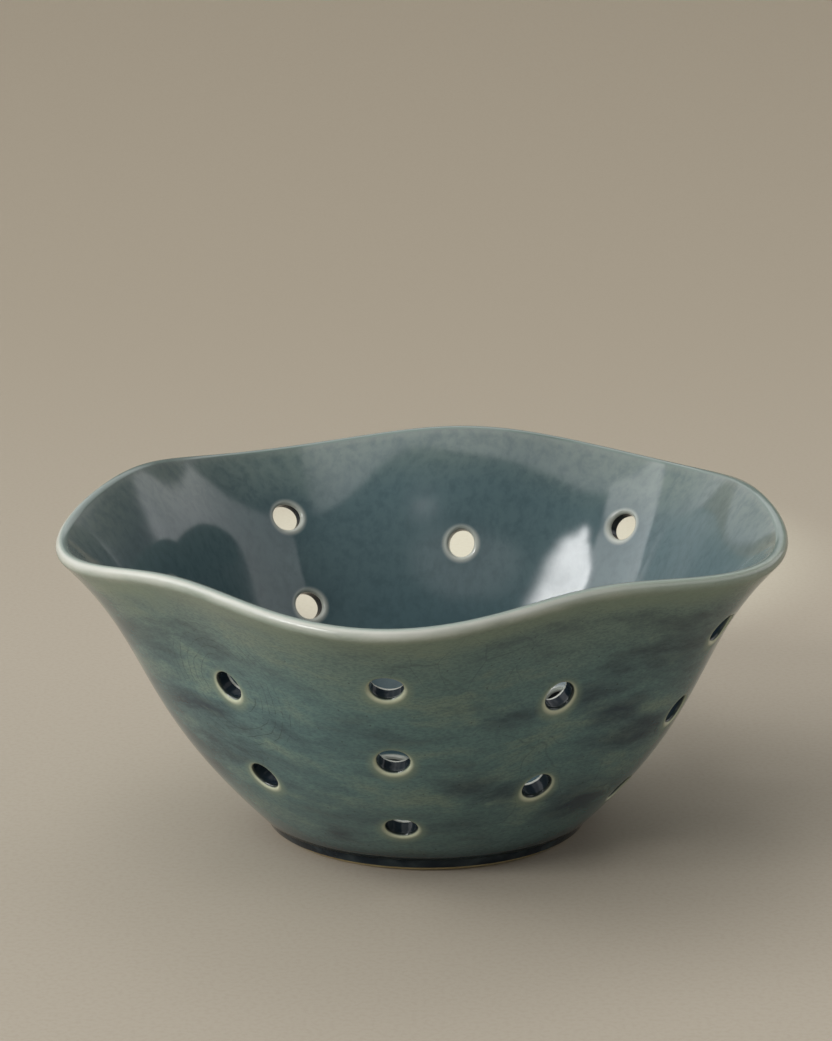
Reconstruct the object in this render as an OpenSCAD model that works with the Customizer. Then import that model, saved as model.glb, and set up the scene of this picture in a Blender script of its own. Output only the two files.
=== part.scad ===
// Berry colander bowl in glazed stoneware: a thrown bowl with a lobed rim on a turned foot
// ring, with staggered drain holes through its wall and floor. The origin is the centre of
// the face that it stands on, +Z is up and lengths are millimetres.

/* [Bowl] */
// Mean diameter over the clay at the rim
bowl_d = 156.8; // [132:0.2:188]
// Mean height of the glazed rim above the table
bowl_h = 70.2; // [62:0.2:84]
// Thickness of the clay wall above the foot
wall_t = 3.6; // [2.8:0.1:4.6]
// Thickness of the clay at the lip, which the wall thins towards
lip_t = 2.4; // [1.8:0.1:3.4]
// Thickness of the clay floor
floor_t = 4.5; // [3.5:0.1:6]
// Height of the cove that leads from the floor into the wall
cove_h = 5; // [3:0.25:6.5]

/* [Wall curve] */
// Radius that the belly swells towards
belly_r = 65.5; // [56:0.1:76]
// Height that the belly swells towards
belly_z = 33; // [26:0.1:40]
// Radius that the wall draws in to below the rim
neck_r = 59.1; // [50:0.1:68]
// Height that the wall draws in to below the rim
neck_z = 46.8; // [39:0.1:56]

/* [Rim] */
// Number of lobes round the rim
lobes = 5; // [3:1:7]
// How far each lobe flares out and each rise between two lobes pulls in
lobe_flare = 3.6; // [0:0.1:6]
// How far each lobe dips and each rise stands up
lobe_dip = 2.1; // [0:0.1:4]
// Direction of the first lobe, seen from above
lobe_turn = 262.3; // [0:0.1:360]
// How fast the lobes fade out on the way down the wall
lobe_fade = 1.2; // [1:0.1:3]
// How far the hand-thrown rim leans sideways
rim_lean = 1.2; // [0:0.1:3]
// Direction of that lean
rim_lean_turn = 197; // [0:1:360]
// How far the hand-thrown rim tilts up on one side
rim_tilt = 1.3; // [0:0.1:3]
// Direction of that tilt
rim_tilt_turn = 53; // [0:1:360]
// Depth of the three-cornered unevenness of the rim
rim_corner = 1.8; // [0:0.1:4]
// Direction of one of those corners
rim_corner_turn = 11.5; // [0:0.5:120]
// Height of the slow wave that runs four times round the rim
rim_wave = 0.8; // [0:0.1:3]
// Direction of one crest of that wave
rim_wave_turn = 74; // [0:1:90]

/* [Foot] */
// Diameter of the foot where it stands
foot_d = 69.4; // [56:0.2:84]
// Height of the foot ring
foot_h = 3.5; // [2.5:0.1:5]
// Width of the ring of clay
foot_w = 5; // [3.5:0.1:7]
// How much wider the foot is at its top, on each side
foot_flare = 1.7; // [0.5:0.1:3]
// How far the wall overhangs the foot
foot_step = 0.75; // [0.4:0.05:1.5]
// Bevel on the edges of the standing face
foot_bevel = 0.5; // [0.2:0.05:0.8]

/* [Drain holes] */
// Diameter of each glazed hole
hole_d = 7; // [5:0.1:9]
// Holes in each column under a lobe
lobe_rows = 3; // [1:1:3]
// Height of the lowest hole under a lobe
lobe_row_z = 14.7; // [13:0.1:17]
// Step between the holes under a lobe
lobe_row_step = 20.1; // [16:0.1:21]
// Holes in each column under a rise
rise_rows = 2; // [1:1:2]
// Height of the lowest hole under a rise
rise_row_z = 23.2; // [17:0.1:28]
// Step between the holes under a rise
rise_row_step = 22.4; // [16:0.1:27]
// Diameter of the circle of holes in the floor
floor_ring_d = 34; // [28:0.5:42]

/* [Glaze] */
// Thickness of each coat
glaze_t = 0.4; // [0.25:0.05:0.6]
// Width of the edge round each hole where the coats run thin
edge_break = 0.8; // [0.3:0.1:1.4]
// How far the glaze in a hole stops short of each face of the clay
hole_setback = 0.3; // [0.2:0.05:0.6]
// Height of the bare clay at the bottom of the foot
bare_h = 0.9; // [0.85:0.05:1.8]

/* [Smoothness] */
// Steps round the bowl
round_steps = 80; // [60:4:84]
// Steps up the wall
wall_steps = 10; // [8:1:11]
// Steps over the rounded lip
lip_steps = 4; // [3:1:5]
// Steps round the cove
cove_steps = 3; // [2:1:4]

/* [Hidden] */
$fn = 64;

// Each column of holes stands a little off its even place, as a share of the column pitch
column_shift_shares = [0.03, -0.05, -0.03, -0.02, 0, -0.02, 0.01, 0.26, -0.01, 0.07];
// Length by which every cut runs past what it cuts
overrun = 2;

column_pitch = 360 / (2 * lobes);
clay_hole_r = hole_d / 2 + glaze_t;
coat_hole_r = clay_hole_r + edge_break;

foot_r = foot_d / 2;
foot_in_r = foot_r - foot_w;
foot_top_r = foot_r + foot_flare;
base_r = foot_top_r + foot_step;
floor_z = foot_h + floor_t;

// The outer face of the clay is one cubic curve from the foot to the lip
curve = [[base_r, foot_h], [belly_r, belly_z], [neck_r, neck_z],
         [bowl_d / 2, bowl_h - glaze_t - lip_t / 2]];
lip_z = curve[3].y;

function curve_at(s) = curve[0] * pow(1 - s, 3) + curve[1] * 3 * s * pow(1 - s, 2)
    + curve[2] * 3 * s * s * (1 - s) + curve[3] * pow(s, 3);
function slope_at(s) = (curve[1] - curve[0]) * pow(1 - s, 2)
    + (curve[2] - curve[1]) * 2 * s * (1 - s) + (curve[3] - curve[2]) * s * s;
function along(s) = slope_at(s) / norm(slope_at(s));
function inward(s) = [-along(s).y, along(s).x];

// The wall thins from the foot to the lip, most of all near the lip
function clay_at(s) = wall_t + (lip_t - wall_t) * s * s;

// A point at a share of the depth of the clay below its outer face, and a coat further in
function wall_at(s, depth_share, coat = 0) =
    curve_at(s) + (depth_share * clay_at(s) + coat) * inward(s);

// The place on the curve where the wall reaches a height, at that share of its depth
function place_of(z, depth_share, low = 0, high = 1, tries = 30) =
    let (middle = (low + high) / 2)
    tries == 0 ? middle
    : wall_at(middle, depth_share).y < z ? place_of(z, depth_share, middle, high, tries - 1)
    : place_of(z, depth_share, low, middle, tries - 1);

// Share of the rim's unevenness that reaches a place on the curve
function fade(s) = pow((curve_at(s).y - foot_h) / (lip_z - foot_h), lobe_fade);

// Unevenness of the rim in radius and height, by direction
function rim_shift(turn) = [
    lobe_flare * cos(lobes * (turn - lobe_turn)) + rim_lean * cos(turn - rim_lean_turn)
        + rim_corner * cos(3 * (turn - rim_corner_turn)),
    -lobe_dip * cos(lobes * (turn - lobe_turn)) + rim_tilt * cos(turn - rim_tilt_turn)
        + rim_wave * cos(4 * (turn - rim_wave_turn))];

function spun(p, turn) = [p.x * cos(turn), p.x * sin(turn), p.y];

// Stations are a radius, a height and a share of the unevenness
function station(p, share) = [p.x, p.y, share];
function wall_stations(first, depth_share, coat) = [for (i = [0:wall_steps])
    let (s = first + (1 - first) * i / wall_steps) station(wall_at(s, depth_share, coat), fade(s))];

// The lip is a half round over the end of the wall, thickened by a coat
function lip_stations(coat) = [for (i = [0:lip_steps])
    let (a = 180 * i / lip_steps, r = lip_t / 2 + coat)
    station(wall_at(1, 1 / 2) - r * cos(a) * inward(1) + r * sin(a) * along(1), 1)];

// The cove bends from the flat floor into the wall, lying a coat above the clay
cove_end = place_of(floor_z + cove_h, 1);
function cove_stations(coat) =
    let (end = wall_at(cove_end, 1, coat), rise = end.y - floor_z - coat)
    let (corner = end - along(cove_end) * rise / along(cove_end).y)
    let (start = corner - [norm(end - corner), 0])
    [for (i = [0:cove_steps - 1]) let (s = i / cove_steps)
        station(start * pow(1 - s, 2) + corner * 2 * s * (1 - s) + end * s * s, fade(cove_end) * s)];

function reversed(list) = [for (i = [len(list) - 1:-1:0]) list[i]];
function without_last(list) = [for (i = [0:len(list) - 2]) list[i]];
function without_first(list) = [for (i = [1:len(list) - 1]) list[i]];

function outer_side(coat) = concat(without_last(wall_stations(0, 0, -coat)), lip_stations(coat));
function inner_side(coat) = concat(cove_stations(coat), wall_stations(cove_end, 1, coat));

// Skins through rings of points, first up one side and then down the other. The faces are
// split along diagonals that climb the same way on both, so that touching skins agree, and
// the rings start half a step from the first lobe, so that holes lie within the faces.
module loft(up, down, ring_shaped = false) {
    stations = concat(up, down);
    rings = len(stations);
    points = [for (p = stations) for (k = [0:round_steps - 1])
        let (turn = lobe_turn + 360 * (k + 1 / 2) / round_steps)
        spun([p.x, p.y] + p.z * rim_shift(turn), turn)];
    bands = ring_shaped ? rings : rings - 1;
    sides = [for (i = [0:bands - 1]) for (k = [0:round_steps - 1])
        let (next = (i + 1) % rings, beside = (k + 1) % round_steps)
        let (a = i * round_steps + k, b = i * round_steps + beside)
        let (c = next * round_steps + beside, d = next * round_steps + k)
        each i < len(up) ? [[c, b, a], [d, c, a]] : [[d, b, a], [d, c, b]]];
    first = [for (k = [0:round_steps - 1]) k];
    last = [for (k = [round_steps - 1:-1:0]) (rings - 1) * round_steps + k];
    polyhedron(points, ring_shaped ? sides : concat(sides, [first, last]), convexity = 6);
}

// Places its children at every hole of the wall, with +Z out of the wall along the hole, and
// tells them how thick the clay is there
module at_wall_holes() {
    for (column = [0:2 * lobes - 1]) {
        under_lobe = column % 2 == 0;
        shift_share = column_shift_shares[column % len(column_shift_shares)];
        turn = lobe_turn + column_pitch * (column + shift_share);
        for (row = [0:(under_lobe ? lobe_rows : rise_rows) - 1]) {
            z = under_lobe ? lobe_row_z + lobe_row_step * row : rise_row_z + rise_row_step * row;
            s = place_of(z, 0);
            $clay_t = clay_at(s);
            translate(spun(curve_at(s) + fade(s) * rim_shift(turn), turn))
                rotate([0, acos(-inward(s).y), turn])
                children();
        }
    }
}

// Places its children on the top of the clay floor at the middle hole and the ring of holes
module at_floor_holes() {
    translate([0, 0, floor_z]) {
        children();
        for (k = [0:lobes - 1])
            rotate(lobe_turn + 360 * k / lobes) translate([floor_ring_d / 2, 0, 0]) children();
    }
}

// A round bar that reaches from a depth below the face to a height above it
module bar(r, depth, height) {
    translate([0, 0, -depth]) cylinder(r = r, h = depth + height);
}

// The glaze that lines one hole through a thickness of clay
module hole_lining(thickness) {
    translate([0, 0, hole_setback - thickness]) difference() {
        cylinder(r = clay_hole_r, h = thickness - 2 * hole_setback);
        bar(hole_d / 2, overrun, thickness + overrun);
    }
}

// Radius of the side of the foot at a height above the bevel
function foot_side(z) = foot_r + foot_flare * (z - foot_bevel) / (foot_h - foot_bevel);

module clay_bowl() {
    color("tan") difference() {
        loft(outer_side(0), reversed(without_last(inner_side(0))));
        at_wall_holes() bar(clay_hole_r, $clay_t + overrun, overrun);
        at_floor_holes() bar(clay_hole_r, floor_t + overrun, overrun);
    }
}

module foot_ring() {
    color("burlywood") rotate_extrude() polygon([
        [foot_in_r + foot_bevel, 0], [foot_r - foot_bevel, 0], [foot_r, foot_bevel],
        [foot_top_r, foot_h], [foot_in_r, foot_h], [foot_in_r, foot_bevel]]);
}

module outer_glaze() {
    color([0.33, 0.39, 0.36]) difference() {
        loft(outer_side(glaze_t), reversed(outer_side(0)), ring_shaped = true);
        at_wall_holes() bar(coat_hole_r, $clay_t / 2, overrun);
    }
}

module liner_glaze() {
    color([0.25, 0.34, 0.35]) difference() {
        loft(inner_side(0), reversed(inner_side(glaze_t)));
        at_wall_holes() bar(coat_hole_r, $clay_t + overrun, -$clay_t / 2);
        at_floor_holes() bar(coat_hole_r, floor_t / 2, overrun);
    }
}

// The glaze that gathered in a roll under the overhang of the wall
module foot_glaze() {
    roll_t = base_r * cos(180 / round_steps) - foot_top_r;
    color([0.18, 0.21, 0.19]) rotate_extrude() polygon([
        [foot_side(bare_h), bare_h], [foot_side(bare_h) + roll_t / 2, bare_h],
        [foot_side(bare_h + roll_t) + roll_t, bare_h + roll_t], [foot_top_r + roll_t, foot_h],
        [foot_top_r, foot_h]]);
}

module base_glaze() {
    color([0.30, 0.36, 0.34]) difference() {
        translate([0, 0, foot_h - glaze_t]) cylinder(r = foot_in_r, h = glaze_t);
        at_floor_holes() bar(coat_hole_r, floor_t + overrun, 0);
    }
}

module drain_hole_glaze() {
    color([0.16, 0.19, 0.18]) {
        at_wall_holes() hole_lining($clay_t);
        at_floor_holes() hole_lining(floor_t);
    }
}

clay_bowl();
foot_ring();
outer_glaze();
liner_glaze();
foot_glaze();
base_glaze();
drain_hole_glaze();
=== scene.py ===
import math

import bpy
import numpy as np
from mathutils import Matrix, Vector


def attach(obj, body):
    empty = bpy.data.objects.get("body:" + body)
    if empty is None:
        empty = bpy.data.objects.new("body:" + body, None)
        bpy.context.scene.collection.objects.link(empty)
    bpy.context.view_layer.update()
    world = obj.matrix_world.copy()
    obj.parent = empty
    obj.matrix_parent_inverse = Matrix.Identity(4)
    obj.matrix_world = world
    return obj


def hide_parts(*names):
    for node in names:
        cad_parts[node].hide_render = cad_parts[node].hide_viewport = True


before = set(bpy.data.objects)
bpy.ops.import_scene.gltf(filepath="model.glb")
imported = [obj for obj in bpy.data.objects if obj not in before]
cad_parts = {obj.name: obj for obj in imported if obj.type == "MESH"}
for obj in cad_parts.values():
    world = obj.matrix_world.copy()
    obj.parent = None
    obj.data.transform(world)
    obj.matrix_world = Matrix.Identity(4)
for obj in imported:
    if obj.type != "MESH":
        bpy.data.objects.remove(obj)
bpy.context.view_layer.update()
print("frame loaded:", ", ".join(sorted(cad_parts)))

# the thrown pot, in metres and degrees
pot = {
    "rimD": 0.1568, "rimH": 0.0702, "wallT": 0.0036, "lipT": 0.0024, "floorT": 0.0045,
    "coveH": 0.005, "bellyR": 0.0655, "bellyZ": 0.033, "neckR": 0.0591, "neckZ": 0.0468,
    "glazeT": 0.0004, "coatShare": 0.9,  # a coat's hidden face stops just short of the clay
}
rim = {
    "lobes": 5, "flare": 0.0036, "dip": 0.0021, "turn": 262.3, "fade": 1.2,
    "lean": 0.0012, "leanTurn": 197, "tilt": 0.0013, "tiltTurn": 53,
    "corners": 3, "corner": 0.0018, "cornerTurn": 11.5, "waves": 4, "wave": 0.0008, "waveTurn": 74,
}
foot = {
    "d": 0.0694, "h": 0.0035, "w": 0.005, "flare": 0.0017, "step": 0.00075,
    "edge": 0.0007, "bareH": 0.0009,
}
drain = {
    "d": 0.007, "pooled": 0.0002, "mouth": 0.0009, "lobeRows": 3, "lobeZ": 0.0147, "lobeStep": 0.0201,
    "riseRows": 2, "riseZ": 0.0232, "riseStep": 0.0224, "ringD": 0.034,
    "shiftShares": [0.03, -0.05, -0.03, -0.02, 0, -0.02, 0.01, 0.26, -0.01, 0.07],
}
weaveOf = {
    "around": 200, "cell": 0.0017, "patchRings": 4, "mouthRings": 8, "tunnelRings": 3,
    "wallBlock": (10, 10), "floorBlock": (26, 8), "lipRings": 14,
}
# points along each stretch of the section
samples = {"curve": 4001, "wall": 900, "lip": 160, "cove": 120, "flat": 200, "mouth": 40}

footR = foot["d"] / 2
footInR = footR - foot["w"]
footTopR = footR + foot["flare"]
baseR = footTopR + foot["step"]
floorZ = foot["h"] + pot["floorT"]
holeR = drain["d"] / 2 - drain["pooled"]
mouthR = holeR + drain["mouth"]
glazeT = pot["glazeT"]
floorTop = floorZ + glazeT
baseLow = foot["h"] - glazeT

# the wall is one cubic curve from the foot to the lip
curve = np.array([
    (baseR, foot["h"]), (pot["bellyR"], pot["bellyZ"]), (pot["neckR"], pot["neckZ"]),
    (pot["rimD"] / 2, pot["rimH"] - glazeT - pot["lipT"] / 2)])


def curveAt(s):
    s = np.asarray(s, float)[..., None]
    a, b, c, d = curve
    return a * (1 - s) ** 3 + b * 3 * s * (1 - s) ** 2 + c * 3 * s * s * (1 - s) + d * s ** 3


def alongAt(s):
    s = np.asarray(s, float)[..., None]
    a, b, c, d = curve
    slope = (b - a) * (1 - s) ** 2 + (c - b) * 2 * s * (1 - s) + (d - c) * s * s
    return slope / np.linalg.norm(slope, axis=-1, keepdims=True)


def inwardAt(s):
    along = alongAt(s)
    return np.stack([-along[..., 1], along[..., 0]], -1)


# the wall thins towards the lip
def clayAt(s):
    return pot["wallT"] + (pot["lipT"] - pot["wallT"]) * np.asarray(s, float) ** 2


def wallAt(s, depthShare, coat=0.0):
    return curveAt(s) + (depthShare * clayAt(s) + coat)[..., None] * inwardAt(s)


def fadeAt(s):
    share = (curveAt(s)[..., 1] - foot["h"]) / (curve[3, 1] - foot["h"])
    return np.maximum(share, 0) ** rim["fade"]


def rimShift(turn):
    lobe = np.cos(np.radians(rim["lobes"] * (turn - rim["turn"])))
    out = rim["flare"] * lobe + rim["lean"] * np.cos(np.radians(turn - rim["leanTurn"]))
    out = out + rim["corner"] * np.cos(np.radians(rim["corners"] * (turn - rim["cornerTurn"])))
    up = -rim["dip"] * lobe + rim["tilt"] * np.cos(np.radians(turn - rim["tiltTurn"]))
    up = up + rim["wave"] * np.cos(np.radians(rim["waves"] * (turn - rim["waveTurn"])))
    return out, up


def placeOf(z, depthShare):
    s = np.linspace(0, 1, samples["curve"])
    return float(np.interp(z, wallAt(s, depthShare)[:, 1], s))


# a path is the pot's section, measured along its own length
class Path:
    def __init__(self, *runs):
        self.p = np.vstack([np.column_stack(run) for run in runs])
        steps = np.linalg.norm(np.diff(self.p[:, :2], axis=0), axis=1)
        fresh = np.concatenate([[True], steps > 1e-9])
        self.p = self.p[fresh]
        steps = np.linalg.norm(np.diff(self.p[:, :2], axis=0), axis=1)
        self.q = np.concatenate([[0], np.cumsum(steps)])
        self.length = self.q[-1]

    def at(self, q):
        return [np.interp(q, self.q, self.p[:, k]) for k in range(3)]

    def points(self, turn, q):
        r, z, share = self.at(q)
        out, up = rimShift(turn)
        r = r + share * out
        a = np.radians(turn)
        return np.stack([r * np.cos(a), r * np.sin(a), z + share * up + 0 * a], -1)

    def near(self, r, z):
        return float(self.q[np.argmin(np.hypot(self.p[:, 0] - r, self.p[:, 1] - z))])


# the rounded mouth of the middle hole, and the flat from it outwards
def mouthRun(z, first, last):
    a = np.radians(np.linspace(first, last, samples["mouth"]))
    return mouthR + drain["mouth"] * np.cos(a), z + drain["mouth"] * np.sin(a), np.zeros_like(a)


def flatRun(last, z):
    r = np.linspace(mouthR, last, samples["flat"])
    return r, np.full_like(r, z), np.zeros_like(r)


def wallRun(first, depthShare, coat):
    s = np.linspace(first, 1, samples["wall"])
    p = wallAt(s, depthShare, coat)
    return p[:, 0], p[:, 1], fadeAt(s)


def outerPath():
    a = np.radians(np.linspace(0, 180, samples["lip"]))[:, None]
    r = pot["lipT"] / 2 + glazeT
    lip = wallAt(1, 0.5) - r * np.cos(a) * inwardAt(1) + r * np.sin(a) * alongAt(1)
    return Path(wallRun(0, 0, -glazeT), (lip[:, 0], lip[:, 1], np.ones(len(lip))))


def innerPath():
    end = placeOf(floorZ + pot["coveH"], 1)
    last = wallAt(end, 1, glazeT)
    along = alongAt(end)
    corner = last - along * (last[1] - floorTop) / along[1]
    start = corner - np.array([np.linalg.norm(last - corner), 0])
    t = np.linspace(0, 1, samples["cove"])[:, None]
    cove = start * (1 - t) ** 2 + corner * 2 * t * (1 - t) + last * t * t
    return Path(mouthRun(floorTop - drain["mouth"], 180, 90), flatRun(start[0], floorTop),
                (cove[:, 0], cove[:, 1], fadeAt(end) * t[:, 0]), wallRun(end, 1, glazeT))


def basePath():
    return Path(mouthRun(baseLow + drain["mouth"], 180, 270), flatRun(footInR, baseLow))


outerWay, innerWay, baseWay = outerPath(), innerPath(), basePath()


# every hole: its turn, the way into it from outside, and its place on the ways that it joins
def wallHoles():
    found = []
    pitch = 180 / rim["lobes"]
    for column in range(2 * rim["lobes"]):
        kind = "lobe" if column % 2 == 0 else "rise"
        turn = rim["turn"] + pitch * (column + drain["shiftShares"][column])
        a = math.radians(turn)
        for row in range(drain[kind + "Rows"]):
            s = placeOf(drain[kind + "Z"] + drain[kind + "Step"] * row, 0)
            n, up = inwardAt(s), alongAt(s)
            outside = outerWay.near(*wallAt(s, 0, -glazeT))
            found.append({
                "turn": turn, "outside": outside, "inside": innerWay.near(*wallAt(s, 1, glazeT)),
                "into": np.array([n[0] * math.cos(a), n[0] * math.sin(a), n[1]]),
                "up": np.array([up[0] * math.cos(a), up[0] * math.sin(a), up[1]]),
                "centre": outerWay.points(turn, outside)})
    return found


def floorHoles():
    r = drain["ringD"] / 2
    outside, inside = baseWay.near(r, baseLow), innerWay.near(r, floorTop)
    found = []
    for k in range(rim["lobes"]):
        turn = rim["turn"] + 360 * k / rim["lobes"]
        found.append({
            "turn": turn, "outside": outside, "inside": inside,
            "into": np.array([0, 0, 1.0]), "up": np.array([1.0, 0, 0]),
            "centre": baseWay.points(turn, outside)})
    return found


# the glazed surface of the whole pot as one woven skin, each face marked with its coat
class Skin:
    def __init__(self):
        self.points, self.faces, self.coats = np.zeros((0, 3)), [], []

    def add(self, points):
        first = len(self.points)
        self.points = np.vstack([self.points, np.reshape(points, (-1, 3))])
        return np.arange(first, len(self.points))

    def quads(self, coat, a, b, c, d, flip=False):
        rows = np.stack([a, d, c, b] if flip else [a, b, c, d], -1).reshape(-1, 4)
        self.faces.append(rows)
        self.coats += [coat] * len(rows)

    def band(self, coat, first, second, flip=False):
        self.quads(coat, first, np.roll(first, -1), np.roll(second, -1), second, flip)

    def close(self):
        self.faces = np.vstack(self.faces)
        self.coats = np.array(self.coats)
        p = self.points[self.faces]
        n = np.cross(p[:, 2] - p[:, 0], p[:, 3] - p[:, 1])
        self.normals = np.zeros_like(self.points)
        for k in range(4):
            np.add.at(self.normals, self.faces[:, k], n)
        self.normals /= np.linalg.norm(self.normals, axis=1, keepdims=True)


# the loop of grid corners round a block, and the angles that they take round a hole
def blockLoop(i, j, wide, tall):
    loop = [(i + k, j) for k in range(wide)] + [(i + wide, j + k) for k in range(tall)]
    loop += [(i + wide - k, j + tall) for k in range(wide)]
    return loop + [(i, j + tall - k) for k in range(tall)]


def loopCircle(wide, tall):
    sides = [np.linspace(90 * k, 90 * k + 90, n, endpoint=False)
             for k, n in enumerate((wide, tall, wide, tall))]
    a = np.radians(np.concatenate(sides) - 135)
    return np.stack([np.cos(a), np.sin(a)], -1)


# a sheet of quads along a way, with a round mouth woven in at each hole
def weaveSheet(skin, coat, way, stops, holes, flip=False, lastRow=None):
    around = weaveOf["around"]
    step = 360 / around
    keep = np.ones((len(stops), around), bool)
    cells = np.ones((len(stops) - 1, around), bool)
    corners = []
    for hole in holes:
        wide, tall = hole["block"]
        i = round(hole["turn"] / step - wide / 2)
        j = int(np.argmin(np.abs(stops - hole["q"]))) - tall // 2
        cells[np.ix_(range(j, j + tall), np.arange(i, i + wide) % around)] = False
        keep[np.ix_(range(j + 1, j + tall), np.arange(i + 1, i + wide) % around)] = False
        corners.append((i, j))
    ids = np.full(keep.shape, -1)
    if lastRow is not None:
        keep[-1] = False
        ids[-1] = lastRow
    grid = way.points(np.arange(around)[None, :] * step, stops[:, None])
    ids[keep] = skin.add(grid[keep])
    right = np.roll(ids, -1, 1)
    skin.quads(coat, ids[:-1][cells], right[:-1][cells], right[1:][cells], ids[1:][cells], flip)
    ends = [weaveMouth(skin, coat, way, stops, ids, hole, corner, flip)
            for hole, corner in zip(holes, corners)]
    return ids, ends


def weaveMouth(skin, coat, way, stops, ids, hole, corner, flip):
    around = weaveOf["around"]
    loop = blockLoop(*corner, *hole["block"])
    circle = loopCircle(*hole["block"])
    edge = np.array([ids[j, i % around] for i, j in loop])
    q = np.array([stops[j] for i, j in loop])
    turn = np.array([i * 360 / around for i, j in loop])
    border = np.stack([np.radians(turn - hole["turn"]) * way.at(q)[0], q - hole["q"]], -1)
    rings = [(border * (1 - share) + circle * mouthR * share, 0)
             for share in np.linspace(0, 1, weaveOf["patchRings"] + 1)[1:]]
    rings += [(circle * (mouthR - drain["mouth"] * math.sin(b)), drain["mouth"] * (1 - math.cos(b)))
              for b in np.linspace(0, math.pi / 2, weaveOf["mouthRings"] + 1)[1:]]
    for place, depth in rings:
        q = hole["q"] + place[:, 1]
        turn = hole["turn"] + np.degrees(place[:, 0] / way.at(q)[0])
        ring = skin.add(way.points(turn, q) + depth * hole["inward"])
        skin.band(coat, edge, ring, flip)
        edge = ring
    return edge


def lineHole(skin, first, last):
    edge = first
    for share in np.linspace(0, 1, weaveOf["tunnelRings"] + 1)[1:-1]:
        ring = skin.add(skin.points[first] * (1 - share) + skin.points[last] * share)
        skin.band("hole", edge, ring)
        edge = ring
    skin.band("hole", edge, last)


def evenStops(first, last, count=None):
    return np.linspace(first, last, (count or round((last - first) / weaveOf["cell"])) + 1)


def seenFrom(holes, side, block, sign):
    return [dict(hole, q=hole[side], block=weaveOf[block], inward=sign * hole["into"]) for hole in holes]


def weavePot():
    skin = Skin()
    walls, floors = wallHoles(), floorHoles()
    lipStart = outerWay.near(*wallAt(1, 0, -glazeT))
    stops = np.concatenate([evenStops(0, lipStart),
                            evenStops(lipStart, outerWay.length, weaveOf["lipRings"])[1:]])
    outer, outerEnds = weaveSheet(skin, "outer", outerWay, stops,
                                  seenFrom(walls, "outside", "wallBlock", 1))

    flat = innerWay.near(mouthR, floorTop)
    stops = np.concatenate([evenStops(0, flat, weaveOf["mouthRings"])[:-1],
                            evenStops(flat, innerWay.length)])
    both = seenFrom(walls, "inside", "wallBlock", -1) + seenFrom(floors, "inside", "floorBlock", -1)
    inner, innerEnds = weaveSheet(skin, "liner", innerWay, stops, both, True, outer[-1])

    flat = baseWay.near(mouthR, baseLow)
    stops = np.concatenate([evenStops(0, flat, weaveOf["mouthRings"])[:-1],
                            evenStops(flat, baseWay.length)])
    base, baseEnds = weaveSheet(skin, "base", baseWay, stops,
                                seenFrom(floors, "outside", "floorBlock", 1))
    skin.band("under", base[-1], outer[0])
    for first, last in zip(outerEnds + baseEnds, innerEnds):
        lineHole(skin, first, last)
    lineHole(skin, base[0][::-1], inner[0][::-1])
    skin.close()
    return skin, walls + floors


skin, allHoles = weavePot()
print("skin woven:", len(skin.points), "points,", len(skin.faces), "faces")


# what the glazes look up, in millimetres: gap to the nearest hole and the side of it, drop from
# the lip and the side of it, rise from the table; and the smoky patches with painted shade, from 0 to 1
mm = 1000
holeReach = {"far": 20.0, "deep": 4 * pot["wallT"]}
# the broad patches at turns 208, 232, 240 and 248 are painted shade that darkens the side facing the key
# lamp; the narrow ones are smoky streaks in the glaze
smokeAndShadePatches = [  # turn, rise, half width, half height, strength
    (305, 44, 8, 3.5, 0.7), (312, 39, 10, 4.5, 0.85), (319, 33, 12, 5.0, 0.9), (276, 47, 10, 2.5, 0.5),
    (285, 43, 9, 2.5, 0.55), (280, 26, 9, 3.5, 0.8), (289, 23, 9, 3.5, 0.8), (297, 20, 8, 3.5, 0.6),
    (313, 16, 12, 4.5, 1.0), (232, 30, 22, 14.0, 0.3), (245, 10, 6, 3.0, 0.5), (322, 52, 16, 8.0, 0.5),
    (5, 30, 14, 4.5, 0.8), (28, 50, 12, 4.0, 0.7), (40, 18, 10, 4.0, 0.9), (66, 34, 13, 4.5, 0.8),
    (95, 48, 11, 3.5, 0.7), (108, 20, 12, 4.0, 0.9), (135, 38, 12, 4.0, 0.7), (160, 24, 10, 4.5, 0.8),
    (182, 46, 11, 3.5, 0.6), (204, 20, 9, 4.0, 0.6), (208, 42, 30, 26.0, 0.4), (240, 30, 24, 26.0, 0.25),
    (248, 20, 14, 10.0, 0.32),
]


def smokeAndShadeAt(points):
    turn = np.degrees(np.arctan2(points[:, 1], points[:, 0]))
    far = mm * np.hypot(points[:, 0], points[:, 1])
    smokeAndShade = np.zeros(len(points))
    for middle, rise, wide, tall, strength in smokeAndShadePatches:
        away = np.radians((turn - middle + 180) % 360 - 180) * far / wide
        above = (mm * points[:, 2] - rise) / tall
        smokeAndShade = np.maximum(smokeAndShade, strength * np.exp(-away ** 2 - above ** 2))
    return smokeAndShade


def skinFields(points):
    gap = np.full(len(points), holeReach["far"])
    low = np.zeros(len(points))
    for hole in allHoles:
        offset = points - hole["centre"]
        deep = offset @ hole["into"]
        far = np.linalg.norm(offset - deep[:, None] * hole["into"], axis=1)
        mine = (mm * (far - holeR) < gap) & (np.abs(deep) < holeReach["deep"])
        gap[mine] = mm * (far[mine] - holeR)
        low[mine] = -(offset[mine] @ hole["up"]) / np.maximum(far[mine], 1e-6)
    out, up = rimShift(np.degrees(np.arctan2(points[:, 1], points[:, 0])))
    lipR = pot["lipT"] / 2 + glazeT
    offset = np.stack([np.hypot(points[:, 0], points[:, 1]) - out, points[:, 2] - up], -1) - wallAt(1, 0.5)
    side = np.clip(offset @ inwardAt(1) / lipR, -1, 1)
    return {"holeGap": gap, "holeLow": low, "lipDrop": mm * (lipR - offset[:, 1]), "lipSide": side,
            "rise": mm * points[:, 2], "smokeAndShade": smokeAndShadeAt(points)}


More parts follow.
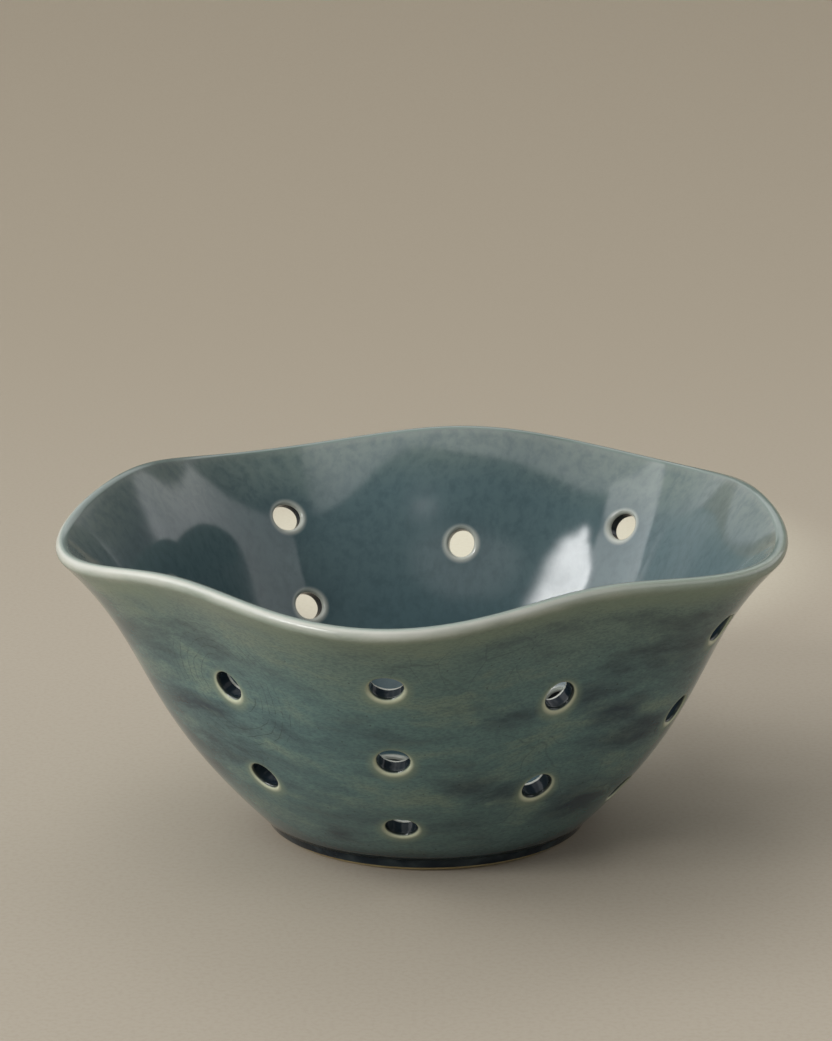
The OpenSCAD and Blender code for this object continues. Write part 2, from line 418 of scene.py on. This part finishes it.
def addPiece(name, points, faces, normals, node, fields=None):
    mesh = bpy.data.meshes.new(name)
    mesh.from_pydata(points.tolist(), [], faces.tolist())
    mesh.polygons.foreach_set("use_smooth", [True] * len(mesh.polygons))
    for field, values in (fields or {}).items():
        mesh.attributes.new(field, "FLOAT", "POINT").data.foreach_set("value", values)
    if normals is not None:
        mesh.normals_split_custom_set_from_vertices(normals.tolist())
    mesh.validate()
    piece = bpy.data.objects.new(name, mesh)
    bpy.context.scene.collection.objects.link(piece)
    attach(piece, "root")
    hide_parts(node)
    return piece


# one coat: its stretch of the skin, a second face under it, and a strip along every open edge
def addCoat(name, coat, node):
    faces = skin.faces[skin.coats == coat]
    used, local = np.unique(faces, return_inverse=True)
    faces = local.reshape(-1, 4)
    front, normals = skin.points[used], skin.normals[used]
    back = front - pot["coatShare"] * glazeT * normals
    count = len(front)
    edges = np.vstack([faces[:, [k, (k + 1) % 4]] for k in range(4)])
    code = np.sort(edges, 1) @ np.array([count, 1])
    _, where, uses = np.unique(code, return_index=True, return_counts=True)
    rimEdges = edges[where[uses == 1]]
    strip = np.column_stack([rimEdges[:, 1], rimEdges[:, 0], rimEdges[:, 0] + count, rimEdges[:, 1] + count])
    fields = {field: np.concatenate([v, v]) for field, v in skinFields(front).items()}
    return addPiece(name, np.vstack([front, back]), np.vstack([faces, faces[:, ::-1] + count, strip]),
                    np.vstack([normals, -normals]), node, fields)


outerGlaze = addCoat("outer_glaze_coat", "outer", "outer_glaze")
linerGlaze = addCoat("liner_glaze_coat", "liner", "liner_glaze")
baseGlaze = addCoat("base_glaze_coat", "base", "base_glaze")
holeGlaze = addCoat("drain_hole_linings", "hole", "drain_hole_glaze")
clayBowl = addPiece("clay_body", skin.points - glazeT * skin.normals, skin.faces, None, "clay_bowl")
print("coats laid over the clay")


# rings turned on the wheel, from a section with rounded corners that take less than half a side each
rounding = {"steps": 5, "sideParts": 2.2}


def roundedSection(corners, radius):
    section = []
    count = len(corners)
    for k in range(count):
        p, a, b = (np.array(corners[j % count]) for j in (k, k - 1, k + 1))
        toA, toB = a - p, b - p
        cut = min(radius, *(np.linalg.norm(side) / rounding["sideParts"] for side in (toA, toB)))
        a, b = p + toA / np.linalg.norm(toA) * cut, p + toB / np.linalg.norm(toB) * cut
        for t in np.linspace(0, 1, rounding["steps"] + 1):
            section.append(a * (1 - t) ** 2 + p * 2 * t * (1 - t) + b * t * t)
    return np.array(section)


def addTurned(name, section, node):
    around = weaveOf["around"]
    a = np.radians(np.arange(around) * 360 / around)[:, None]
    points = np.stack([section[:, 0] * np.cos(a), section[:, 0] * np.sin(a), section[:, 1] + 0 * a], -1)
    ids = np.arange(points[..., 0].size).reshape(points.shape[:2])
    beside, above = np.roll(ids, -1, 0), np.roll(ids, -1, 1)
    faces = np.stack([ids, beside, np.roll(beside, -1, 1), above], -1).reshape(-1, 4)
    return addPiece(name, points.reshape(-1, 3), faces, None, node, skinFields(points.reshape(-1, 3)))


def footSide(z):
    return footR + foot["flare"] * z / foot["h"]


footRing = addTurned("foot_ring_clay", roundedSection(
    [(footInR, 0), (footR, 0), (footTopR, foot["h"]), (footInR, foot["h"])], foot["edge"]),
    "foot_ring")
footGlaze = addTurned("foot_glaze_roll", roundedSection(
    [(footSide(foot["bareH"]), foot["bareH"]), (footSide(foot["bareH"]) + foot["step"], foot["bareH"]),
     (footTopR + foot["step"], foot["h"]), (footTopR, foot["h"])], foot["step"] / 2),
    "foot_glaze")
print("foot turned")


# shader sums are written as sums: every operator adds its own node
class Val:
    def __init__(self, graph, socket):
        self.graph, self.socket = graph, socket

    def sum(self, operation, *values):
        return self.graph.node("ShaderNodeMath", {"operation": operation}, dict(enumerate(values)))

    def __add__(self, other):
        return self.sum("ADD", self, other)

    def __radd__(self, other):
        return self.sum("ADD", other, self)

    def __sub__(self, other):
        return self.sum("SUBTRACT", self, other)

    def __rsub__(self, other):
        return self.sum("SUBTRACT", other, self)

    def __mul__(self, other):
        return self.sum("MULTIPLY", self, other)

    def __rmul__(self, other):
        return self.sum("MULTIPLY", other, self)

    def most(self, other):
        return self.sum("MAXIMUM", self, other)

    def least(self, other):
        return self.sum("MINIMUM", self, other)


class Graph:
    def __init__(self, owner):
        owner.use_nodes = True
        self.owner = owner
        self.nodes, self.links = owner.node_tree.nodes, owner.node_tree.links
        self.nodes.clear()

    def node(self, kind, settings=None, sockets=None, output=0):
        made = self.nodes.new(kind)
        for setting, value in (settings or {}).items():
            setattr(made, setting, value)
        for socket, value in (sockets or {}).items():
            if isinstance(value, Val):
                self.links.new(value.socket, made.inputs[socket])
            else:
                made.inputs[socket].default_value = value
        return Val(self, made.outputs[output]) if len(made.outputs) else None

    def field(self, name):
        return self.node("ShaderNodeAttribute", {"attribute_name": name}, output="Fac")

    def step(self, value, low, high):
        return self.node("ShaderNodeMapRange", {"interpolation_type": "SMOOTHSTEP"},
                         {"Value": value, "From Min": low, "From Max": high})

    def rises(self, value, low, high, share):
        return self.step(value, low, high) * share

    def falls(self, value, low, high, share):
        return (1 - self.step(value, low, high)) * share

    def mix(self, share, first, second):
        return self.node("ShaderNodeMix", {"data_type": "RGBA"}, {0: share, 6: first, 7: second}, 2)

    # the spot on the piece, swirled by a noise and then flattened, so that the pattern lies in bands
    def place(self, flatten=1.0, warp=0.0, warpScale=40.0):
        place = self.node("ShaderNodeTexCoord", output="Object")
        if warp:
            swirl = self.node("ShaderNodeTexNoise", {}, {"Vector": place, "Scale": warpScale}, "Color")
            swirl = self.node("ShaderNodeVectorMath", {"operation": "SUBTRACT"},
                              {0: swirl, 1: (0.5, 0.5, 0.5)})
            place = self.node("ShaderNodeVectorMath", {"operation": "MULTIPLY_ADD"},
                              {0: swirl, 1: (warp, warp, warp), 2: place})
        return self.node("ShaderNodeVectorMath", {"operation": "MULTIPLY"}, {0: place, 1: (1, 1, flatten)})

    def axis(self, name):
        return self.node("ShaderNodeSeparateXYZ", {}, {0: self.place()}, name)

    def noise(self, scale, detail=2.0, rough=0.5, **where):
        return self.node("ShaderNodeTexNoise", {}, {"Vector": self.place(**where), "Scale": scale,
                                                    "Detail": detail, "Roughness": rough})

    def cells(self, scale, feature="F1", **where):
        return self.node("ShaderNodeTexVoronoi", {"feature": feature},
                         {"Vector": self.place(**where), "Scale": scale})

    def bump(self, height, strength, distance, normal=None):
        sockets = {"Strength": strength, "Distance": distance, "Height": height}
        if normal is not None:
            sockets["Normal"] = normal
        return self.node("ShaderNodeBump", {}, sockets)

    def finish(self, sockets):
        shader = self.node("ShaderNodeBsdfPrincipled", {}, sockets)
        self.node("ShaderNodeOutputMaterial", {}, {"Surface": shader})
        return self.owner


def tint(red, green, blue):
    return tuple((c / 255 / 12.92) if c / 255 <= 0.04045 else ((c / 255 + 0.055) / 1.055) ** 2.4
                 for c in (red, green, blue)) + (1.0,)


glazeIor = 1.5

# each look holds its tints, its noises, and its layers as start, end and share, by millimetres or noise
insideLook = {
    "upper": tint(102, 115, 110), "middle": tint(78, 97, 100), "lower": tint(62, 84, 89),
    "mottle": tint(48, 68, 74), "halo": tint(206, 206, 192), "rim": tint(140, 144, 134),
    "drift": {"scale": 30, "detail": 3},
    "mottles": {"scale": 420, "detail": 5, "rough": 0.62, "flatten": 0.7, "warp": 0.004, "warpScale": 90},
    "wave": {"scale": 45, "flatten": 1.3},
    "uneven": 14, "toMiddle": (0, 14), "toLower": (24, 60), "mottleAt": (0.36, 0.72, 0.4),
    "shadeAt": (2.0, 6.0, 0.25), "haloSag": 0.2, "haloAt": (0.2, 1.8, 0.6), "rimAt": (0.5, 2.0, 0.2),
    "waveBump": (0.1, 0.0012), "gloss": 0.06, "dull": 0.08,
}
outsideLook = {
    "thin": tint(108, 132, 124), "body": tint(94, 125, 124), "deep": tint(89, 120, 119),
    "smokeAndShade": tint(32, 49, 64), "foot": tint(26, 38, 48), "lip": tint(200, 200, 191),
    "olive": tint(130, 146, 125), "halo": tint(204, 208, 182), "speck": tint(40, 44, 40),
    "crackle": tint(46, 62, 64), "pool": tint(20, 27, 30),
    "drift": {"scale": 26, "detail": 3},
    "bands": {"scale": 34, "detail": 5, "rough": 0.62, "flatten": 3.0, "warp": 0.012, "warpScale": 30},
    "wisps": {"scale": 90, "detail": 4, "rough": 0.6, "flatten": 5.0, "warp": 0.008, "warpScale": 50},
    "grain": {"scale": 1000, "detail": 3, "rough": 0.65, "flatten": 3.0},
    "specks": {"scale": 330.0}, "wave": {"scale": 55, "flatten": 1.6},
    "uneven": 36, "toBody": (2, 26), "toDeep": (30, 62), "oliveBands": (0.5, 0.3, 0.5),
    "wispPull": 0.35, "smokeAndShadePull": 0.4, "cloudAt": (0.46, 0.9, 0.95),
    "paleWisps": (0.5, 0.72, 0.3), "darkGrain": (0.4, 0.64, 0.3), "speckAt": (0.03, 0.1, 0.6),
    "holeSag": 0.9, "holeOlive": (0.4, 3.0, 0.6), "haloSag": 0.4, "haloAt": (0.1, 1.35),
    "haloFrom": (0.12, 0.4), "haloShare": (0.5, 0.7), "poolAt": (0.1, 0.36, 0.95),
    "wander": 6.0, "lipOlive": (2.0, 9.0, 0.6), "toInside": (0.1, 0.7, 0.85), "footAt": (2.6, 8.5, 0.95),
    "waveBump": (0.25, 0.0012), "grainBump": (0.06, 0.0002),
    "gloss": 0.06, "dull": 0.1, "dullFrom": (0.2, 1.5),
}
crackLook = {
    "net": {"scale": 105.0, "feature": "DISTANCE_TO_EDGE", "flatten": 0.7, "warp": 0.012, "warpScale": 60},
    "line": (0.0, 0.022), "where": (0.52, 0.66), "share": 0.35,
    "arcAt": (-0.0431, -0.0493, 0.0456), "arcSwirl": {"warp": 0.003, "warpScale": 120}, "arcPitch": 3300.0,
    "arcLine": (0.9, 1.0), "arcFrom": (0.006, 0.008), "arcTo": (0.015, 0.022), "arcGaps": (0.4, 0.55),
    "arcShare": 0.55,
}
crestLook = {
    "bandPull": 2.4, "wispPull": 1.6, "drop": (0.1, 3.4), "side": (-0.1, 0.6),
    # right: painted shade that dims the crest across the right side
    "most": 1.05, "right": (0.01, 0.055, 0.65), "share": 0.85,
}


# a net of cracks where the glaze drifts, and a fan of curved ones at the front
def crackle(g, drift, wisps):
    look = crackLook
    net = (1 - g.step(g.cells(**look["net"]), *look["line"])) * g.step(drift, *look["where"])
    away = g.node("ShaderNodeVectorMath", {"operation": "DISTANCE"},
                  {0: g.place(**look["arcSwirl"]), 1: look["arcAt"]}, "Value")
    phase = away * look["arcPitch"]
    arcs = g.step(phase.sum("SINE", phase), *look["arcLine"]) * g.step(away, *look["arcFrom"])
    arcs = arcs * (1 - g.step(away, *look["arcTo"])) * g.step(wisps, *look["arcGaps"])
    return net * look["share"] + arcs * look["arcShare"]


# the pale crest of the lip, with painted shade that weakens it to the right, away from the key lamp
def paleCrest(g, drop, side, bands, wisps):
    look = crestLook
    ragged = drop + (bands - 0.5) * look["bandPull"] + (wisps - 0.5) * look["wispPull"]
    crest = (1 - g.step(ragged, *look["drop"])) * (1 - g.step(side, *look["side"]))
    # painted shade: the crest fades across the right side, by the crest look's right entry
    return crest * (look["most"] - g.rises(g.axis("X"), *look["right"])) * look["share"]


def outsideGlaze():
    look = outsideLook
    g = Graph(bpy.data.materials.new("glaze_outside"))
    drop, side, rise = g.field("lipDrop"), g.field("lipSide"), g.field("rise")
    gap, low, smokeAndShade = g.field("holeGap"), g.field("holeLow"), g.field("smokeAndShade")
    drift, bands, wisps, grain = (g.noise(**look[name]) for name in ("drift", "bands", "wisps", "grain"))
    depth = drop + (drift - 0.5) * look["uneven"]
    colour = g.mix(g.step(depth, *look["toBody"]), look["thin"], look["body"])
    colour = g.mix(g.step(depth, *look["toDeep"]), colour, look["deep"])
    colour = g.mix(g.rises(bands, *look["oliveBands"]), colour, look["olive"])
    # the smoke field also carries the painted shade on the key-lit left side
    cloud = bands + (wisps - 0.5) * look["wispPull"] + smokeAndShade * look["smokeAndShadePull"]
    colour = g.mix(g.rises(cloud, *look["cloudAt"]), colour, look["smokeAndShade"])
    colour = g.mix(g.rises(wisps, *look["paleWisps"]), colour, look["thin"])
    colour = g.mix(g.rises(grain, *look["darkGrain"]), colour, look["smokeAndShade"])
    colour = g.mix(crackle(g, drift, wisps), colour, look["crackle"])
    colour = g.mix(g.falls(g.cells(**look["specks"]), *look["speckAt"]), colour, look["speck"])
    colour = g.mix(g.falls(gap - low * look["holeSag"], *look["holeOlive"]), colour, look["olive"])
    ring = (1 - g.step(gap - low * look["haloSag"], *look["haloAt"])) * g.step(gap, *look["haloFrom"])
    least, more = look["haloShare"]
    colour = g.mix(ring * (least + wisps * more), colour, look["halo"])
    colour = g.mix(g.falls(gap, *look["poolAt"]), colour, look["pool"])
    wander = (bands - 0.5) * look["wander"]
    colour = g.mix(g.falls(drop + wander, *look["lipOlive"]), colour, look["olive"])
    colour = g.mix(paleCrest(g, drop, side, bands, wisps), colour, look["lip"])
    colour = g.mix(g.rises(side, *look["toInside"]), colour, insideLook["upper"])
    colour = g.mix(g.falls(rise + wander, *look["footAt"]), colour, look["foot"])
    normal = g.bump(grain, *look["grainBump"])
    normal = g.bump(g.noise(**look["wave"]), *look["waveBump"], normal)
    shine = look["gloss"] + bands * look["dull"] * g.step(gap, *look["dullFrom"])
    return g.finish({"Base Color": colour, "Roughness": shine, "IOR": glazeIor, "Normal": normal})


# the left lobe seems to swell softly inwards: the mesh stays, and only the reflections turn.
# Turns are in degrees from the left end, rises in millimetres, and the bump is strength and metres.
fold = {"start": (-25, -2), "end": (0, 60), "rise": (14, 46), "bump": (1.0, 0.003)}


def leftFold(g):
    x, y = g.axis("X"), g.axis("Y")
    turn = x.sum("ARCTAN2", y * -1, x * -1) * math.degrees(1)
    swell = g.step(turn, *fold["start"]) * (1 - g.step(turn, *fold["end"]))
    return g.bump(swell * g.step(g.field("rise"), *fold["rise"]), *fold["bump"])


def insideGlaze():
    look = insideLook
    g = Graph(bpy.data.materials.new("glaze_inside"))
    drop, gap, low = g.field("lipDrop"), g.field("holeGap"), g.field("holeLow")
    drift, mottles = g.noise(**look["drift"]), g.noise(**look["mottles"])
    depth = drop + (drift - 0.5) * look["uneven"]
    colour = g.mix(g.step(depth, *look["toMiddle"]), look["upper"], look["middle"])
    colour = g.mix(g.step(depth, *look["toLower"]), colour, look["lower"])
    colour = g.mix(g.rises(mottles, *look["mottleAt"]), colour, look["mottle"])
    colour = g.mix(g.falls(gap, *look["shadeAt"]), colour, look["mottle"])
    # a pale glaze ring round each hole, carried right to the mouth's edge, where it is also a painted
    # highlight on the rounded inner lip
    colour = g.mix(g.falls(gap - low * look["haloSag"], *look["haloAt"]), colour, look["halo"])
    colour = g.mix(g.falls(drop, *look["rimAt"]), colour, look["rim"])
    normal = g.bump(g.noise(**look["wave"]), *look["waveBump"], leftFold(g))
    shine = look["gloss"] + mottles * look["dull"]
    return g.finish({"Base Color": colour, "Roughness": shine, "IOR": glazeIor, "Normal": normal})


poolLook = {
    "thin": tint(62, 72, 74), "deep": tint(22, 32, 40), "edge": tint(150, 146, 124),
    "clouds": {"scale": 140, "detail": 3}, "ripples": {"scale": 420}, "rippleH": 0.0006,
    "thinAt": (0.35, 0.7), "edgeAt": (-0.1, 0.6), "gloss": 0.05, "dull": 0.08,
}


def pooledGlaze(name, thin, edge, ripple, ior):
    look = poolLook
    g = Graph(bpy.data.materials.new(name))
    clouds = g.noise(**look["clouds"])
    colour = g.mix(g.rises(clouds, *look["thinAt"], thin), look["deep"], look["thin"])
    colour = g.mix(g.falls(g.field("holeGap"), *look["edgeAt"], edge), colour, look["edge"])
    normal = g.bump(g.noise(**look["ripples"]), ripple, look["rippleH"])
    shine = look["gloss"] + clouds * look["dull"]
    return g.finish({"Base Color": colour, "Roughness": shine, "IOR": ior, "Normal": normal})


clayLook = {
    "pale": tint(214, 202, 156), "warm": tint(178, 152, 104), "grain": tint(126, 102, 70),
    "clouds": {"scale": 120, "detail": 3}, "grains": {"scale": 2200, "rough": 0.7},
    "grainAt": (0.58, 0.75, 0.5), "grainBump": (0.4, 0.0002), "gloss": 0.72, "dull": 0.2,
}


def bareClay():
    look = clayLook
    g = Graph(bpy.data.materials.new("bare_stoneware"))
    clouds, grains = g.noise(**look["clouds"]), g.noise(**look["grains"])
    colour = g.mix(clouds, look["pale"], look["warm"])
    colour = g.mix(g.rises(grains, *look["grainAt"]), colour, look["grain"])
    normal = g.bump(grains, *look["grainBump"])
    shine = look["gloss"] + grains * look["dull"]
    return g.finish({"Base Color": colour, "Roughness": shine, "Normal": normal})


outerGlaze.data.materials.append(outsideGlaze())
linerGlaze.data.materials.append(insideGlaze())
baseGlaze.data.materials.append(
    pooledGlaze("glaze_under_floor", thin=1.0, edge=0.6, ripple=0.1, ior=glazeIor))
holeGlaze.data.materials.append(pooledGlaze("glaze_in_holes", thin=0.2, edge=0.0, ripple=0.3, ior=1.22))
footGlaze.data.materials.append(pooledGlaze("glaze_at_foot", thin=0.8, edge=0.0, ripple=0.15, ior=1.3))
clay = bareClay()
for piece in (clayBowl, footRing):
    piece.data.materials.append(clay)
print("glazes mixed")


# a paper sweep under and behind the pot, its near part painted lighter as painted light
stage = {
    "half": 1.6, "front": -6.0, "bend": 0.62, "bendR": 0.5, "bendSteps": 25, "top": 0.25,
    # near: painted light, a lighter tint for the floor round the pot
    "near": tint(167, 158, 143), "paper": tint(157, 147, 130), "fibre": tint(152, 141, 124),
    "toPaper": (0.0, 0.6), "fibres": {"scale": 900, "detail": 3}, "fibreAt": (0.4, 0.7, 0.25),
    "rough": 0.85, "sheen": 0.2,
}


def paperSweep():
    last = math.acos(1 - stage["top"] / stage["bendR"])
    section = [(stage["front"], 0.0)]
    for a in np.linspace(0, last, stage["bendSteps"]):
        section.append((stage["bend"] + stage["bendR"] * math.sin(a), stage["bendR"] * (1 - math.cos(a))))
    points = [(x, y, z) for y, z in section for x in (-stage["half"], stage["half"])]
    faces = [(2 * k, 2 * k + 1, 2 * k + 3, 2 * k + 2) for k in range(len(section) - 1)]
    mesh = bpy.data.meshes.new("paper_sweep")
    mesh.from_pydata(points, [], faces)
    mesh.polygons.foreach_set("use_smooth", [True] * len(faces))
    floor = bpy.data.objects.new("paper_sweep", mesh)
    bpy.context.scene.collection.objects.link(floor)
    g = Graph(bpy.data.materials.new("paper"))
    fibres = g.noise(**stage["fibres"])
    # painted light: the floor near the pot is lighter, fading into the paper tint further back
    colour = g.mix(g.step(g.axis("Y"), *stage["toPaper"]), stage["near"], stage["paper"])
    colour = g.mix(g.rises(fibres, *stage["fibreAt"]), colour, stage["fibre"])
    mesh.materials.append(g.finish({"Base Color": colour, "Roughness": stage["rough"],
                                    "Specular IOR Level": stage["sheen"]}))


# the soft box: its bearing from the pot in degrees, size in metres and brightness, its two slanted
# sides as place, softness and lean, the bend in the second one, and how far its ends fade
keyBox = {"turn": 224.0, "rise": 36.3, "far": 3.0, "size": (2.48, 1.08), "level": 16.0,
          "low": (-0.17, 0.08, 0.8), "high": (0.92, 0.2, 0.3), "bend": 0.65, "ends": 0.3}
# the pool of light on the paper behind the pot
glow = {"at": (0.012, 0.235, 0.5), "watts": 10.0, "cone": 27, "blend": 1.0, "tint": (0.86, 1.0, 1.0)}
# the room: each pale patch by its turn from the viewer's side, its rise, edges and brightness; a fall
# brings the patch's rise down past a turn, by degrees for each degree and at most
room = {
    "low": 0.12, "viewTurn": 260,
    "patches": [
        {"turn": (-106, -52), "rise": (14, 54), "edges": (1.5, 5), "level": 3.0},
        {"turn": (-160, -106), "rise": (2, 60), "edges": (1.5, 5), "level": 0.6},
        {"turn": (-75, 14), "rise": (52, 95), "edges": (22, 1.5), "level": 0.65},
        {"turn": (-185, 38), "rise": (52, 95), "edges": (10, 1.5), "level": 0.9},
        {"turn": (-30, 22), "rise": (4, 26), "edges": (8, 2), "level": 0.8},
        {"turn": (67, 150.5), "rise": (18.3, 44), "edges": (1.2, 1.5), "level": 1.0, "fall": (95, 0.37, 25)},
        {"turn": (150, 200), "rise": (25, 75), "edges": (6, 6), "level": 1.2},
        {"turn": (-200, -150), "rise": (25, 75), "edges": (6, 6), "level": 1.2},
    ],
}


def addLamp(name, data, at, aim):
    lamp = bpy.data.objects.new(name, data)
    lamp.location = at
    lamp.rotation_euler = (Vector(aim) - Vector(at)).to_track_quat("-Z", "Y").to_euler()
    bpy.context.scene.collection.objects.link(lamp)


def addKey():
    wide, tall = keyBox["size"]
    data = bpy.data.lights.new("key", "AREA")
    data.shape, data.size, data.size_y = "RECTANGLE", wide, tall
    data.energy = keyBox["level"] * math.pi * wide * tall
    g = Graph(data)
    spot = g.node("ShaderNodeNewGeometry", output="Parametric")
    across, along = (g.node("ShaderNodeSeparateXYZ", {}, {0: spot}, side) for side in "XY")
    first, soft, lean = keyBox["low"]
    light = g.step(across - along * lean, first, first + soft)
    last, soft, lean = keyBox["high"]
    slant = across + along * lean + (along - 0.5).most(0) * keyBox["bend"]
    light = light * (1 - g.step(slant, last - soft, last))
    light = light * g.step(along, 0, keyBox["ends"]) * (1 - g.step(along, 1 - keyBox["ends"], 1))
    lit = g.node("ShaderNodeEmission", {}, {"Strength": light})
    g.node("ShaderNodeOutputLight", {}, {"Surface": lit})
    turn, rise = math.radians(keyBox["turn"]), math.radians(keyBox["rise"])
    flat = keyBox["far"] * math.cos(rise)
    at = (flat * math.cos(turn), flat * math.sin(turn), keyBox["far"] * math.sin(rise))
    addLamp("key", data, at, (0, 0, pot["rimH"] / 2))


def addGlow():
    data = bpy.data.lights.new("glow", "SPOT")
    data.energy, data.spot_size, data.spot_blend = glow["watts"], math.radians(glow["cone"]), glow["blend"]
    data.color = glow["tint"]
    addLamp("glow", data, glow["at"], (*glow["at"][:2], 0))


def addRoom():
    g = Graph(bpy.data.worlds.new("room"))
    way = g.node("ShaderNodeTexCoord", output="Generated")
    t = math.radians(room["viewTurn"])
    ahead, beside = (g.node("ShaderNodeVectorMath", {"operation": "DOT_PRODUCT"}, {0: way, 1: axis}, "Value")
                     for axis in ((math.cos(t), math.sin(t), 0), (-math.sin(t), math.cos(t), 0)))
    turn = ahead.sum("ARCTAN2", beside, ahead) * math.degrees(1)
    up = g.node("ShaderNodeSeparateXYZ", {}, {0: way}, "Z")
    rise = up.sum("ARCSINE", up) * math.degrees(1)
    light = room["low"]
    for patch in room["patches"]:
        height = rise
        if "fall" in patch:
            start, share, most = patch["fall"]
            height = rise + ((turn - start).most(0) * share).least(most)
        glint = patch["level"]
        for value, side, edge in zip((turn, height), ("turn", "rise"), patch["edges"]):
            low, high = patch[side]
            glint = glint * g.step(value, low - edge, low + edge)
            glint = glint * (1 - g.step(value, high - edge, high + edge))
        light = glint + light
    sky = g.node("ShaderNodeBackground", {}, {"Color": (1, 1, 1, 1), "Strength": light})
    g.node("ShaderNodeOutputWorld", {}, {"Surface": sky})
    bpy.context.scene.world = g.owner


view = {"at": (-0.0024, -0.6895, 0.2459), "down": 14.36, "lens": 110.94, "film": 36.0, "clip": (0.01, 50)}


def addCamera():
    data = bpy.data.cameras.new("camera")
    data.sensor_fit, data.sensor_height, data.lens = "VERTICAL", view["film"], view["lens"]
    data.clip_start, data.clip_end = view["clip"]
    camera = bpy.data.objects.new("camera", data)
    camera.location = view["at"]
    camera.rotation_euler = (math.radians(90 - view["down"]), 0, 0)
    bpy.context.scene.collection.objects.link(camera)
    bpy.context.scene.camera = camera


paperSweep()
addKey()
addGlow()
addRoom()
addCamera()
bpy.context.scene.view_settings.view_transform = "Standard"
print("stage set")
